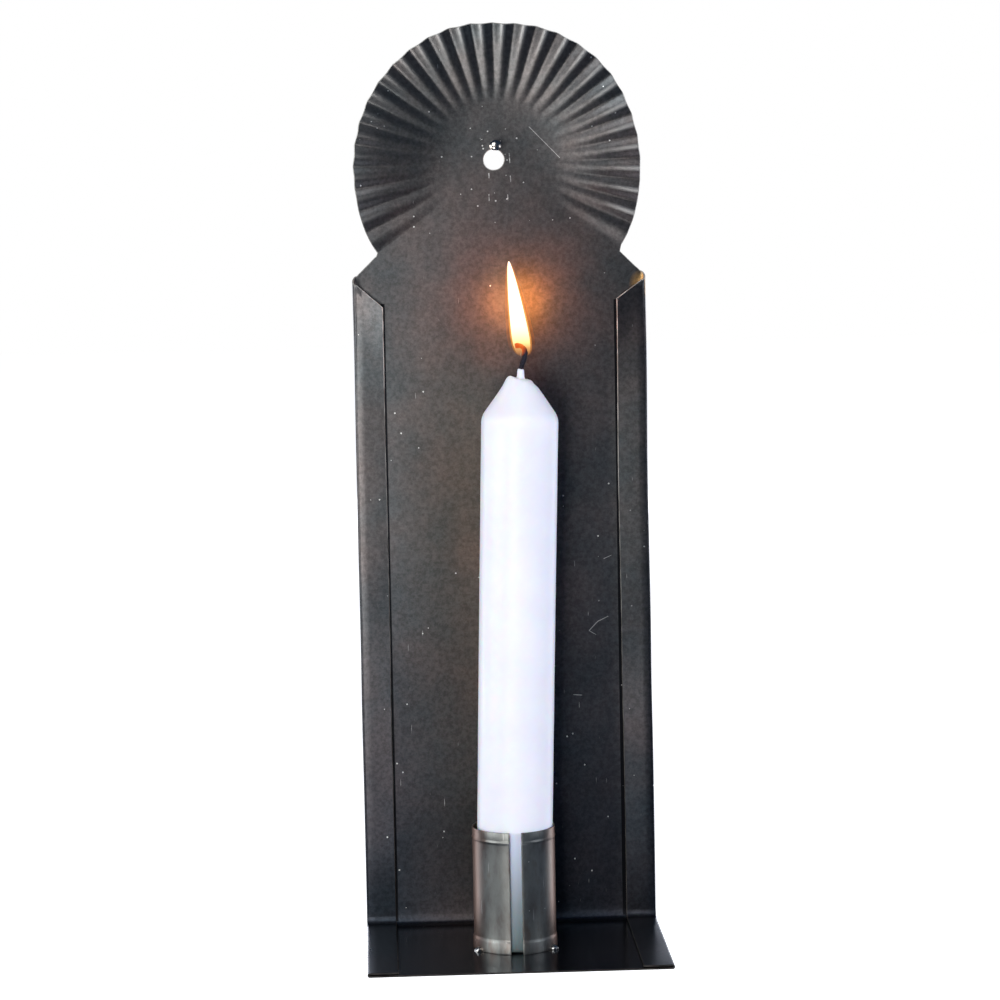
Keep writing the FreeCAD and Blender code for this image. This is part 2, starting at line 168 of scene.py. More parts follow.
def ramp(tree, fac, stops):
    """A colour ramp through (place, hex colour or grey) stops, fed by fac."""
    made = node(tree, "ShaderNodeValToRGB", links={"Fac": fac})
    elements = made.color_ramp.elements
    while len(elements) < len(stops):
        elements.new(0.5)
    for element, (place, colour) in zip(elements, stops):
        element.position = place
        element.color = linear(colour) if isinstance(colour, str) else [colour] * 3 + [1]
    return made.outputs["Color"]


def per_mm(size):
    """Texture scale for a pattern whose features are this many millimetres apart."""
    return 1 / (size * MM)


def cloud(tree, at, size, detail, roughness=0.5):
    """Noise with features of this many millimetres."""
    return node(tree, "ShaderNodeTexNoise",
                {"Scale": per_mm(size), "Detail": detail, "Roughness": roughness},
                {"Vector": at}).outputs["Fac"]


def bumps(tree, shader, *layers):
    """Feeds the shader's normal from bumps over each other: (height, strength, depth in mm)."""
    normal = None
    for height, strength, depth in layers:
        bump = node(tree, "ShaderNodeBump", {"Strength": strength, "Distance": depth * MM},
                    {"Height": height})
        if normal is not None:
            tree.links.new(normal, bump.inputs["Normal"])
        normal = bump.outputs[0]
    tree.links.new(normal, shader.inputs["Normal"])


def new_material(name, **values):
    """A material with a Principled shader set to these values: the material, its tree, its shader,
    and the Object coordinates of a place on the surface."""
    material = bpy.data.materials.new(name)
    material.use_nodes = True
    tree = material.node_tree
    shader = tree.nodes["Principled BSDF"]
    for key, value in values.items():
        shader.inputs[key.replace("_", " ")].default_value = value
    return material, tree, shader, node(tree, "ShaderNodeTexCoord").outputs["Object"]


def scratches(tree, at, turn, seed, width, length, share):
    """Short straight hairlines: the peaks of a noise that is stretched along one direction."""
    stretched = node(tree, "ShaderNodeMapping",
                     {"Rotation": (0, turn, 0), "Location": (seed, 0, seed),
                      "Scale": (per_mm(width), per_mm(width), per_mm(length))}, {"Vector": at})
    lines = node(tree, "ShaderNodeTexNoise", {"Scale": 1, "Detail": 0},
                 {"Vector": stretched.outputs[0]})
    return ramp(tree, lines.outputs["Fac"], [(1 - share, 0.0), (1.04 - share, 1.0)])


def specks(tree, at, spacing, radius, share):
    """Small round spots, one in a share of the cells of a Voronoi grid."""
    cells = node(tree, "ShaderNodeTexVoronoi", {"Scale": per_mm(spacing)}, {"Vector": at})
    pick = node(tree, "ShaderNodeSeparateColor", links={0: cells.outputs["Color"]})
    return product(tree, maths(tree, "LESS_THAN", cells.outputs["Distance"], radius),
                   maths(tree, "LESS_THAN", pick.outputs[0], share))


def hairline(tree, at, start, end, width):
    """One straight scratch on the back plate, from start to end: (x, z) in millimetres."""
    middle = ((start[0] + end[0]) / 2 * MM, 0, (start[1] + end[1]) / 2 * MM)
    run = Vector((end[0] - start[0], end[1] - start[1]))
    placed = node(tree, "ShaderNodeMapping",
                  {"vector_type": "TEXTURE", "Location": middle,
                   "Rotation": (0, -math.atan2(run.y, run.x), 0),
                   "Scale": (run.length / 2 * MM, 1, width / 2 * MM)}, {"Vector": at})
    apart = node(tree, "ShaderNodeVectorMath", {"operation": "ABSOLUTE"}, {0: placed.outputs[0]})
    along, _, across = axes(tree, apart.outputs[0])
    return maths(tree, "LESS_THAN", maths(tree, "MAXIMUM", along, across), 1.0)


SCRATCHES = [
    # start and end as (x, z) in mm on the plate, and width in mm
    ((10.5, 9.4), (19.4, 0.2), 0.16), ((25.8, -140.1), (28.4, -137.4), 0.22),
    ((28.4, -137.4), (31.6, -135.9), 0.20), ((25.8, -140.1), (27.9, -141.4), 0.18),
    ((20.8, -159.3), (23.4, -159.5), 0.22), ((30.5, -118.6), (32.8, -117.6), 0.18),
]
DRIPS = [
    # x, top and foot in mm of the short white runs round the hanging hole
    (-3.8, 6.4, 5.6), (4.6, 1.8, -1.1), (-1.5, -3.9, -5.4), (4.8, -4.8, -6.6),
    (-1.6, -10.1, -12.1), (3.9, -10.3, -12.1),
]
DRIP_WIDTH = 0.26
SPECKS_CENTRE = Vector((-2.5, 0, -2.0)) * MM
RIGHT_FOLD = (CENTRE_X + 42.6 * MM, -1 * MM, SHOULDER_Z - 2.5 * MM)
GAP_SHADE_REACH = 0.6 * MM                 # how far the painted gap shade reaches either side of a hem's edge


def bare_marks(tree, at, front, grain):
    """Where the patina is off the front: specks round the hanging hole and along the rim, crumbs
    all over, hairline scratches, and short runs round the hole."""
    height = axes(tree, at)[2]
    near_hole = remap(tree, distance(tree, at, SPECKS_CENTRE), 7 * MM, 15 * MM, 0.42, 0.02)
    near_rim = remap(tree, distance(tree, at, HEAD_CENTRE), HEAD_RADIUS - 7 * MM, HEAD_RADIUS, 0, 0.22)
    rim_share = product(tree, near_rim, maths(tree, "GREATER_THAN", height, NECK_Z))
    share = product(tree, maths(tree, "MAXIMUM", near_hole, rim_share), front)
    crumbs = product(tree, specks(tree, at, 3.2, 0.06, 0.06), 0.45)
    bare = maths(tree, "MAXIMUM", crumbs, specks(tree, at, 1.7, 0.14, share))
    lines = scratches(tree, at, 0.5, 3.1, 0.3, 4, 0.12)
    for start, end, width in SCRATCHES:
        line = product(tree, hairline(tree, at, start, end, width), front)
        lines = maths(tree, "MAXIMUM", lines, line)
    bare = maths(tree, "MAXIMUM", bare, product(tree, lines, grain))
    flecks = ramp(tree, grain, [(0.42, 0.15), (0.58, 1.0)])
    for x, top, foot in DRIPS:
        drip = hairline(tree, at, (x, top), (x + 0.1, foot), DRIP_WIDTH)
        bare = maths(tree, "MAXIMUM", bare, product(tree, drip, front, flecks))
    return bare


def fold_flame_light(tree, at, front, grain):
    """A painted golden glow of the flame's light inside the top of the right fold, broken up by the
    grain.
    """
    near_fold = remap(tree, distance(tree, at, RIGHT_FOLD), 2.4 * MM, 4.4 * MM, 1.3, 0)
    in_fold = maths(tree, "GREATER_THAN", axes(tree, at)[1], -2.2 * MM)
    return product(tree, near_fold, grain, in_fold, front)


def hem_gap_shade(tree, at, front):
    """A painted dark line of shade on the back plate along the edge of each hem, where the gap under
    the hem lies in shadow.
    """
    x, y, z = axes(tree, at)
    aside = maths(tree, "ABSOLUTE", maths(tree, "SUBTRACT", x, CENTRE_X))
    in_line = maths(tree, "COMPARE", aside, HALF_WIDTH - HEM_WIDTH, GAP_SHADE_REACH)
    on_back = maths(tree, "GREATER_THAN", y, -1.1 * MM)
    below = maths(tree, "LESS_THAN", z, SHOULDER_Z - 7 * MM)
    return product(tree, in_line, on_back, below, front)


def crest_highlights(tree, at, front):
    """Painted highlights along the crests of the crimps near their outer ends, stronger on the right.
    """
    arm = node(tree, "ShaderNodeVectorMath", {"operation": "SUBTRACT", 1: HEAD_CENTRE}, {0: at})
    x, _, z = axes(tree, arm.outputs[0])
    turn = maths(tree, "ARCTAN2", x, z)
    pace = 2 * math.pi / CRIMP_PITCH
    wave = maths(tree, "COSINE", maths(tree, "MULTIPLY_ADD", turn, pace, -pace * CRIMP_TURN))
    crest = remap(tree, wave, -0.55, -1.0)
    outer = remap(tree, distance(tree, at, HEAD_CENTRE),
                  HEAD_RADIUS - 9 * MM, HEAD_RADIUS - 1 * MM, 0, 0.55)
    crimped = maths(tree, "LESS_THAN", maths(tree, "ABSOLUTE", turn), (CRIMPS / 2 - 0.9) * CRIMP_PITCH)
    rightward = remap(tree, x, -32 * MM, 4 * MM, 0.25, 1.0)
    return product(tree, crest, outer, crimped, front, rightward)


def blackened_tin():
    """Tinplate gone dark with age: a thin grey-brown patina over metal, a waxy sheen and fine pits.
    It carries a painted warm reflection to the candle's left and painted shade to its right, and
    painted shade makes it darker and bluer towards the shelf, where it is also glossier. It is worn
    and scratched in the places that get it, with a painted shadow line along each hem's edge, a
    painted glow of the flame inside the right fold and painted highlights on the crimps' crest ends."""
    material, tree, shader, at = new_material("blackened_tin", Metallic=0.95)
    facing = axes(tree, node(tree, "ShaderNodeTexCoord").outputs["Normal"])
    front = maths(tree, "LESS_THAN", facing[1], 0.0)
    x, _, z = axes(tree, at)
    clouds = cloud(tree, at, 28, 5, 0.6)
    grain = cloud(tree, at, 1.1, 3, 0.7)

    patina = ramp(tree, clouds, [(0.32, "#565c5d"), (0.50, "#626160"), (0.68, "#6e6764")])
    grained = ramp(tree, grain, [(0.36, 0.64), (0.64, 1.0)])
    # Painted shade by height: the colour is darker and bluer towards the shelf and a little darker
    # round the head.
    depth = ramp(tree, remap(tree, z, UNDERSIDE, sheet_high.z),
                 [(0.0, "#ccd4e4"), (0.02, "#b6bece"), (0.12, "#cdd2de"), (0.46, "#ffffff"),
                  (0.58, "#ffffff"), (0.68, "#f4f2f3"), (0.80, "#f3f1f2"), (0.92, "#fcfcfc")])
    # Painted light and shade beside the candle: a warm painted reflection to its left and painted
    # shade to its right.
    sides = ramp(tree, remap(tree, x, -40 * MM, 40 * MM),
                 [(0.1, "#f8fafc"), (0.36, "#ffeede"), (0.45, "#ffeede"), (0.62, "#d2d4dc"),
                  (0.90, "#d6d8e0"), (0.94, "#ffffff")])
    painted_candle_light_zone = product(tree, remap(tree, z, -30 * MM, -90 * MM), front)
    colour = layered(tree, patina, grained, kind="MULTIPLY")
    colour = layered(tree, colour, depth, kind="MULTIPLY")
    colour = layered(tree, colour, sides, painted_candle_light_zone, "MULTIPLY")
    # Painted glow of the flame's light inside the right fold.
    colour = layered(tree, colour, "#c29a5c", fold_flame_light(tree, at, front, grain))
    # Painted shadow: a dark line along each hem's edge.
    colour = layered(tree, colour, "#1c1c1f", hem_gap_shade(tree, at, front))
    # Painted highlights on the outer ends of the crimps' crests.
    colour = layered(tree, colour, "#b9bab8", crest_highlights(tree, at, front))
    colour = layered(tree, colour, "#d9dad6", bare_marks(tree, at, front, grain))
    tree.links.new(colour, shader.inputs["Base Color"])

    rough = remap(tree, clouds, 0, 1, 0.29, 0.37)
    handled = ramp(tree, remap(tree, z, UNDERSIDE, UNDERSIDE + 10 * MM),
                   [(0.10, 0.55), (0.20, 1.5), (0.42, 1.0)])
    tree.links.new(product(tree, rough, handled), shader.inputs["Roughness"])
    bumps(tree, shader, (cloud(tree, at, 45, 1), 0.35, 1.2), (grain, 0.25, 0.05))
    return material


def cut_tin():
    """The cut edges of the tinplate: bright bare metal with dull nicks, darkened towards the shelf
    by painted shade."""
    material, tree, shader, at = new_material("cut_tin_edge", Metallic=0.25, Roughness=0.4)
    nicked = ramp(tree, cloud(tree, at, 4, 3), [(0.4, "#8a877f"), (0.6, "#c9c7be")])
    # Painted shade: the edges darken towards the shelf.
    edge_shade_by_height = ramp(tree, remap(tree, axes(tree, at)[2], UNDERSIDE, -50 * MM),
                   [(0.0, "#4a4644"), (0.03, "#54504e"), (0.4, "#868482"), (1.0, "#ffffff")])
    tree.links.new(layered(tree, nicked, edge_shade_by_height, kind="MULTIPLY"), shader.inputs["Base Color"])
    return material


def dull_tin():
    """Rolled tinplate strip, less dark than the sheet: grey-green metal, tarnished brown in faint
    clouds, with a painted brown reflection down its two sides."""
    material, tree, shader, at = new_material("dull_tin", Metallic=0.95)
    upright = node(tree, "ShaderNodeMapping", {"Scale": (per_mm(6), per_mm(6), per_mm(15))},
                   {"Vector": at})
    clouds = node(tree, "ShaderNodeTexNoise", {"Scale": 1, "Detail": 6, "Roughness": 0.62},
                  {"Vector": upright.outputs[0]}).outputs["Fac"]
    colour = ramp(tree, clouds, [(0.34, "#6c625b"), (0.46, "#7f7f7b"), (0.56, "#898c87"),
                                 (0.70, "#7a7069")])
    aside = maths(tree, "ABSOLUTE", maths(tree, "SUBTRACT", axes(tree, at)[0], CENTRE_X))
    # Painted brown reflection down both sides of the socket.
    brown_reflection = remap(tree, aside, 8.5 * MM, 11.5 * MM, 0, 0.8)
    bright = maths(tree, "MAXIMUM", specks(tree, at, 2.2, 0.08, 0.15),
                   scratches(tree, at, 1.0, 5.3, 0.3, 8, 0.17))
    colour = layered(tree, colour, "#7d5c4b", brown_reflection)
    colour = layered(tree, colour, "#d8d8d2", bright)
    tree.links.new(colour, shader.inputs["Base Color"])
    tree.links.new(remap(tree, clouds, 0, 1, 0.34, 0.46), shader.inputs["Roughness"])
    bumps(tree, shader, (cloud(tree, at, 1.5, 3), 0.2, 0.05))
    return material


def soft_solder():
    """Tin and lead solder, cooled in a lump: bright, soft-edged and a little frosted."""
    material, tree, shader, at = new_material("soft_solder", Metallic=1.0,
                                              Base_Color=linear("#cfcfca"))
    frost = cloud(tree, at, 0.6, 3)
    tree.links.new(remap(tree, frost, 0, 1, 0.15, 0.4), shader.inputs["Roughness"])
    bumps(tree, shader, (frost, 0.5, 0.1))
    return material


def bright_steel():
    """The wall's own nail: drawn steel wire with a polished domed head."""
    material, tree, shader, at = new_material("bright_steel", Metallic=1.0,
                                              Base_Color=linear("#c8bfb4"))
    drawn = cloud(tree, at, 1.2, 3)
    tree.links.new(remap(tree, drawn, 0, 1, 0.08, 0.25), shader.inputs["Roughness"])
    return material


def white_wax():
    """Stearin candle wax: white, faintly blue in the shade, light sinks a few millimetres into it.
    The foot is painted grey-green, darkest at the bottom, as shade inside the tin socket."""
    material, tree, shader, at = new_material(
        "white_wax", Roughness=0.38, IOR=1.44, Subsurface_Weight=0.35, Subsurface_Scale=0.004)
    colour = ramp(tree, cloud(tree, at, 14, 3), [(0.3, "#f1f1fa"), (0.7, "#f7f7fd")])
    # Painted shade: the wax goes grey-green towards its foot, as inside the socket.
    foot = ramp(tree, remap(tree, axes(tree, at)[2], SHELF_TOP, socket_high.z),
                [(0.0, "#72827c"), (0.4, "#a9b5b6"), (0.97, "#f2f6ff"), (1.0, "#ffffff")])
    tree.links.new(layered(tree, colour, foot, kind="MULTIPLY"), shader.inputs["Base Color"])
    bumps(tree, shader, (cloud(tree, at, 6, 2), 0.15, 0.15))
    return material


def charred_cotton(tip):
    """A braided cotton wick burnt black, its curled tip still glowing orange."""
    material, tree, shader, at = new_material("charred_cotton", Roughness=0.9,
                                              Emission_Strength=0.55)
    fibre = cloud(tree, at, 0.5, 3)
    char = ramp(tree, fibre, [(0.35, "#0a0a0e"), (0.7, "#262230")])
    ember = remap(tree, distance(tree, at, tip), 2.2 * MM, 3.6 * MM, 1, 0)
    tree.links.new(layered(tree, char, "#b4470e", ember), shader.inputs["Base Color"])
    tree.links.new(layered(tree, "#000000", "#c8500f", ember), shader.inputs["Emission Color"])
    bumps(tree, shader, (fibre, 0.8, 0.1))
    return material


def flame_gas(name, low, high, colours, alphas, strength):
    """Burning wax vapour: glows and hides nothing much; colour and body change with height."""
    material, tree, shader, at = new_material(
        name, Base_Color=linear("#000000"), Roughness=1.0, Specular_IOR_Level=0.0,
        Emission_Strength=strength)
    height = remap(tree, axes(tree, at)[2], low, high)
    tree.links.new(ramp(tree, height, colours), shader.inputs["Emission Color"])
    tree.links.new(ramp(tree, height, alphas), shader.inputs["Alpha"])
    return material


# ---------------------------------------------------------------- modelling helpers

def shaped_grid(name, columns, rows, place):
    """A grid of columns by rows cells whose points go where place(u, v) says, u and v from 0 to 1."""
    bpy.ops.mesh.primitive_grid_add(x_subdivisions=columns, y_subdivisions=rows, size=2)
    made = bpy.context.object
    made.name = made.data.name = name
    for vertex in made.data.vertices:
        u, v = (vertex.co.x + 1) / 2, (vertex.co.y + 1) / 2
        vertex.co = place(u, v)
    return made


def weld(made):
    """Merges points that lie on each other, and turns the faces the same way."""
    bpy.ops.object.select_all(action="DESELECT")
    bpy.context.view_layer.objects.active = made
    made.select_set(True)
    bpy.ops.object.mode_set(mode="EDIT")
    bpy.ops.mesh.select_all(action="SELECT")
    bpy.ops.mesh.remove_doubles(threshold=0.01 * MM)
    bpy.ops.mesh.normals_make_consistent(inside=False)
    bpy.ops.object.mode_set(mode="OBJECT")
    bpy.ops.object.select_all(action="DESELECT")


def finish_with(made, kind, **settings):
    """Adds a modifier with these settings and applies it."""
    bpy.context.view_layer.objects.active = made
    modifier = made.modifiers.new(kind.title(), kind)
    for key, value in settings.items():
        setattr(modifier, key, value)
    bpy.ops.object.modifier_apply(modifier=modifier.name)


def round_shading(made, angle=40):
    """Smooth shading, kept crisp over edges sharper than the angle in degrees."""
    bpy.ops.object.select_all(action="DESELECT")
    bpy.context.view_layer.objects.active = made
    made.select_set(True)
    bpy.ops.object.shade_smooth_by_angle(angle=math.radians(angle))
    bpy.ops.object.select_all(action="DESELECT")


def turned(name, sides, profile):
    """A round solid that follows a profile of (radius, height) pairs up its axis, closed at both
    ends."""
    bpy.ops.mesh.primitive_circle_add(vertices=sides, radius=profile[0][0], fill_type="NGON",
                                      location=(0, 0, profile[0][1]))
    made = bpy.context.object
    made.name = made.data.name = name
    bpy.ops.object.transform_apply(location=True, rotation=False, scale=False)
    bpy.ops.object.mode_set(mode="EDIT")
    bpy.ops.mesh.select_all(action="SELECT")
    for (radius, height), (wider, higher) in zip(profile, profile[1:]):
        bpy.ops.mesh.extrude_region_move(TRANSFORM_OT_translate={"value": (0, 0, higher - height)})
        grow = wider / radius
        bpy.ops.transform.resize(value=(grow, grow, 1), center_override=(0, 0, higher))
    bpy.ops.mesh.select_all(action="SELECT")
    bpy.ops.mesh.normals_make_consistent(inside=False)
    bpy.ops.object.mode_set(mode="OBJECT")
    bpy.ops.object.select_all(action="DESELECT")
    return made


def wander(point, size, seed):
    """A smooth, seeded wobble between about -1 and 1 with features of this size."""
    return noise.noise(point / size + Vector((seed, seed * 1.7, -seed)))


# ---------------------------------------------------------------- sheet_body

# Left side and right side: how far the hem's inner top corner is below the shoulder's corner, and
# how far the hem stands off, or lies closer, in the lower half.
HEM_TOP_DROP = {-1: 7.9 * MM, 1: 6.6 * MM}
HEM_LOWER_LIFT = {-1: 0.38 * MM, 1: -0.35 * MM}
HEM_SPRUNG = 0.9 * MM          # how far the hem's edge has sprung open at the shoulders
HEM_PRESSED = 0.22 * MM        # how much closer it lies than the fold's own depth above the bend
SECTION_FLAT, SECTION_FOLD, SECTION_HEM = 52, 8, 4
SECTION_COLUMNS = SECTION_FLAT + 2 * (SECTION_FOLD + SECTION_HEM)
BACK_ROWS, BEND_ROWS, SHELF_ROWS = 64, 8, 22
BEND_TOP = UNDERSIDE + BEND_RADIUS


def section_point(column, radius):
    """Across the hemmed back: x from the centreline, depth from the outer face, side, how far folded.

    How far folded is 0 on the back, 0 to 1 round the fold, 1 to 2 across the folded edge."""
    edge = column - SECTION_COLUMNS / 2
    side = 1 if edge > 0 else -1
    beyond = abs(edge) - SECTION_FLAT / 2
    flat = HALF_WIDTH - radius
    if beyond <= 0:
        return edge / (SECTION_FLAT / 2) * flat, 0.0, side, 0.0
    if beyond <= SECTION_FOLD:
        turn = math.pi * beyond / SECTION_FOLD
        return (side * (flat + radius * math.sin(turn)), radius * (1 - math.cos(turn)),
                side, beyond / SECTION_FOLD)
    across = (beyond - SECTION_FOLD) / SECTION_HEM
    return side * mix(flat, HALF_WIDTH - HEM_WIDTH, across), 2 * radius, side, 1 + across


def fold_radius(row):
    """The fold springs open at the shoulders and is pressed flatter towards the shelf."""
    down = row / BACK_ROWS
    upper = mix(FOLD_OPEN, FOLD_RADIUS, smooth(down * 6))
    return mix(upper, FOLD_FLAT, smooth((down - 0.90) / 0.14))


def hemmed_back(u, v):
    """The hemmed back from the shoulders down, round the bend and along the shelf."""
    column = round(u * SECTION_COLUMNS)
    row = round((1 - v) * (BACK_ROWS + BEND_ROWS + SHELF_ROWS))
    x, depth, side, folded = section_point(column, fold_radius(row))
    if row <= BACK_ROWS:
        down = row / BACK_ROWS
        corner = SHOULDER_Z + (BACK_TOP - SHOULDER_Z) * math.cos(math.pi * min(folded, 1))
        top = mix(corner, SHOULDER_Z - HEM_TOP_DROP[side], max(folded - 1, 0))
        lower = smooth((down - 0.45) * 4) * (1 - smooth((down - 0.88) * 8))
        lift = (HEM_SPRUNG * (1 - smooth(down * 12)) - HEM_PRESSED * (1 - smooth((down - 0.8) * 5))
                + HEM_LOWER_LIFT[side] * lower)
        depth += lift * max(folded - 1, 0)
        return Vector((CENTRE_X + x, -depth, mix(top, BEND_TOP, down)))
    if row <= BACK_ROWS + BEND_ROWS:
        turn = math.pi / 2 * (row - BACK_ROWS) / BEND_ROWS
        radius = BEND_RADIUS - depth
        return Vector((CENTRE_X + x, -BEND_RADIUS + radius * math.cos(turn),
                       BEND_TOP - radius * math.sin(turn)))
    out = (row - BACK_ROWS - BEND_ROWS) / SHELF_ROWS
    return Vector((CENTRE_X + x, mix(-BEND_RADIUS, SHELF_FRONT, out), UNDERSIDE + depth))


CRIMP_CELLS = 10
NECK_SIDE = 2
ARC_COLUMNS = CRIMPS * CRIMP_CELLS
HEAD_COLUMNS = ARC_COLUMNS + 2 * NECK_SIDE + SECTION_FLAT
HEAD_ROWS = 36
CRIMP_UNEVEN = 0.18            # how much the crimps differ in height
CREST_DRAW = 0.3 * MM          # how far a crest draws the rim in
RIM_FLAT = 0.8 * MM            # how far the rim is flattened at the top
RIM_SWELL = 0.6 * MM           # and swollen at the upper right
NECK_SWELL = 1.2 * MM          # and beside the neck
BOWL_INNER = 6 * MM            # where the head starts to come forward


def hump(height, degrees, middle, spread):
    """A smooth hump of this height round an angle, all angles in degrees."""
    return height * math.exp(-((degrees - middle) / spread) ** 2)


def head_rim(column):
    """Where a column of the head ends, and its crimp wave: (x, z, crest 0 to 1, dish 0 to 1)."""
    if column <= ARC_COLUMNS:
        step = column / CRIMP_CELLS
        angle = CRIMP_TURN + (step - CRIMPS / 2) * CRIMP_PITCH
        uneven = 1 + CRIMP_UNEVEN * wander(Vector((math.floor(step), 0, 0)), 1.3, 4)
        last = min(step, CRIMPS - step)
        crest = (0.5 - 0.5 * math.cos(2 * math.pi * step)) ** 0.8 * uneven
        crest *= mix(0.45, 1, smooth(last / 2.5))
        dish = smooth(last / 6)
        degrees = math.degrees(angle)
        radius = (HEAD_RADIUS - hump(RIM_FLAT, degrees, 2, 13) + hump(RIM_SWELL, degrees, 48, 20)
                  + NECK_SWELL * (1 - smooth(last / 3.5)) - CREST_DRAW * crest * dish)
        return (HEAD_CENTRE.x + radius * math.sin(angle), HEAD_CENTRE.z + radius * math.cos(angle),
                crest, dish)
    stop = head_rim(ARC_COLUMNS)
    start = head_rim(0)
    across = column - ARC_COLUMNS
    if across < NECK_SIDE:
        t = across / NECK_SIDE
        return mix(stop[0], CENTRE_X + NECK_HALF, t), mix(stop[1], NECK_Z, t), 0, 0
    across -= NECK_SIDE
    if across <= SECTION_FLAT:
        return CENTRE_X + NECK_HALF * (1 - 2 * across / SECTION_FLAT), NECK_Z, 0, 0
    t = (across - SECTION_FLAT) / NECK_SIDE
    return mix(CENTRE_X - NECK_HALF, start[0], t), mix(NECK_Z, start[1], t), 0, 0


def crimped_head(u, v):
    """The round head: rings that grow from the hanging hole to the rim and to the neck."""
    x, z, crest, dish = head_rim(round(u * HEAD_COLUMNS) % HEAD_COLUMNS)
    rim = Vector((x, 0, z))
    arm = rim - HEAD_CENTRE
    centre = HEAD_CENTRE * smooth(v * 1.5)
    reach = mix(HOLE_RADIUS, arm.length, v)
    point = centre + arm.normalized() * reach
    if v > 0.999:
        point = rim.copy()
    swell = min(max((reach - CRIMP_INNER) / (HEAD_RADIUS - CRIMP_INNER), 0), 1)
    bowl = smooth(max(reach - BOWL_INNER, 0) / (HEAD_RADIUS - BOWL_INNER)) ** 1.5
    point.y = -CRIMP_RISE * crest * swell ** 1.3 - DISH_RISE * dish * bowl
    return point


def shoulders(u, v):
    """The sloping shoulders between the neck and the hemmed back."""
    x = (u - 0.5) * 2 * mix(BACK_HALF, NECK_HALF, v)
    return Vector((CENTRE_X + x, 0, mix(BACK_TOP, NECK_Z, v)))


BUCKLE = 0.30 * MM             # how far the sheet waves
LOW_RIGHT_OUT = 0.5 * MM       # how far its right edge leans out towards the foot


def buckle(made):
    """Hand-worked sheet is never dead flat: the whole piece waves, least of all by the shelf."""
    for vertex in made.data.vertices:
        place = Vector((vertex.co.x, 0, vertex.co.z))
        free = smooth((place.z - SHELF_TOP - 20 * MM) / (60 * MM))
        low_right = smooth((place.x - 5 * MM) / (38 * MM)) * smooth((-0.11 - place.z) / 0.10)
        edge = smooth((abs(place.x - CENTRE_X) - 20 * MM) / (20 * MM))
        vertex.co.y += BUCKLE * wander(place, 55 * MM, 2) * free
        vertex.co.x += BUCKLE * wander(place, 38 * MM, 7) * edge * free + LOW_RIGHT_OUT * low_right


def make_sheet(edge):
    """The whole sheet: surfaces joined along shared points, then given the metal's thickness."""
    parts = [
        shaped_grid("sheet_body_shown", SECTION_COLUMNS, BACK_ROWS + BEND_ROWS + SHELF_ROWS,
                    hemmed_back),
        shaped_grid("shoulders", SECTION_FLAT, 3, shoulders),
        shaped_grid("head", HEAD_COLUMNS, HEAD_ROWS, crimped_head),
    ]
    bpy.ops.object.select_all(action="DESELECT")
    for part in parts:
        part.select_set(True)
    bpy.context.view_layer.objects.active = parts[0]
    bpy.ops.object.join()
    sheet = parts[0]
    weld(sheet)
    mid_back = Vector((CENTRE_X, 0, -0.1))
    if min(sheet.data.polygons, key=lambda face: (face.center - mid_back).length).normal.y < 0:
        sheet.data.flip_normals()
    buckle(sheet)
    sheet.data.materials.append(blackened_tin())
    sheet.data.materials.append(edge)
    finish_with(sheet, "SOLIDIFY", thickness=GAUGE, offset=-1, material_offset_rim=1)
    finish_with(sheet, "BEVEL", width=SHEET_BEVEL, segments=1, limit_method="ANGLE",
                angle_limit=math.radians(50), material=1)
    return sheet


bare_edge = cut_tin()
sheet = make_sheet(bare_edge)
round_shading(sheet)
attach(sheet, "sconce")
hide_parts("sheet_body")


# ---------------------------------------------------------------- candle_socket and solder

SOCKET_CENTRE = Vector((CENTRE_X, (socket_low.y + socket_high.y) / 2, SHELF_TOP))
SOCKET_GAUGE = 0.4 * MM
SOCKET_RADIUS = 12.0 * MM
SLOT_HALF = 1.7 * MM
SLOT_ANGLE = math.asin(SLOT_HALF / SOCKET_RADIUS)
SOCKET_OVAL = 0.004            # share by which the hand-rolled tube is out of round
SOCKET_BANDS = [
    # height, how far out of the plain wall, in mm
    (0, 0.30), (0.5, 0.30), (3.2, 0.28), (3.5, 0.18), (3.8, 0.02), (4.4, 0), (12, 0.02), (20, 0),
    (28, 0.02), (31.8, 0), (32.2, 0.03), (32.4, 0.13), (32.6, 0.17), (32.8, 0.13), (33.0, 0.03),
    (33.4, 0.02), (35.6, 0.05),
]


def rolled_strip(u, v):
    """The socket's strip, rolled from one edge of the front slot round to the other."""
    height, out = SOCKET_BANDS[round(v * (len(SOCKET_BANDS) - 1))]
    turn = mix(SLOT_ANGLE, 2 * math.pi - SLOT_ANGLE, u)
    radius = SOCKET_RADIUS + out * MM
    direction = Vector((-math.sin(turn), -math.cos(turn), 0))
    oval = 1 + SOCKET_OVAL * math.cos(2 * turn + 0.6)
    return SOCKET_CENTRE + direction * radius * oval + Vector((0, 0, height * MM))


socket = shaped_grid("candle_socket_shown", 120, len(SOCKET_BANDS) - 1, rolled_strip)
weld(socket)
outside = max(socket.data.polygons, key=lambda face: face.center.x)
if outside.normal.x < 0:
    socket.data.flip_normals()
socket.data.materials.append(dull_tin())
socket.data.materials.append(bare_edge)
finish_with(socket, "SOLIDIFY", thickness=SOCKET_GAUGE, offset=-1, material_offset_rim=1)
finish_with(socket, "BEVEL", width=STRIP_BEVEL, segments=2, limit_method="ANGLE",
            angle_limit=math.radians(50))
round_shading(socket)
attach(socket, "sconce")
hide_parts("candle_socket")

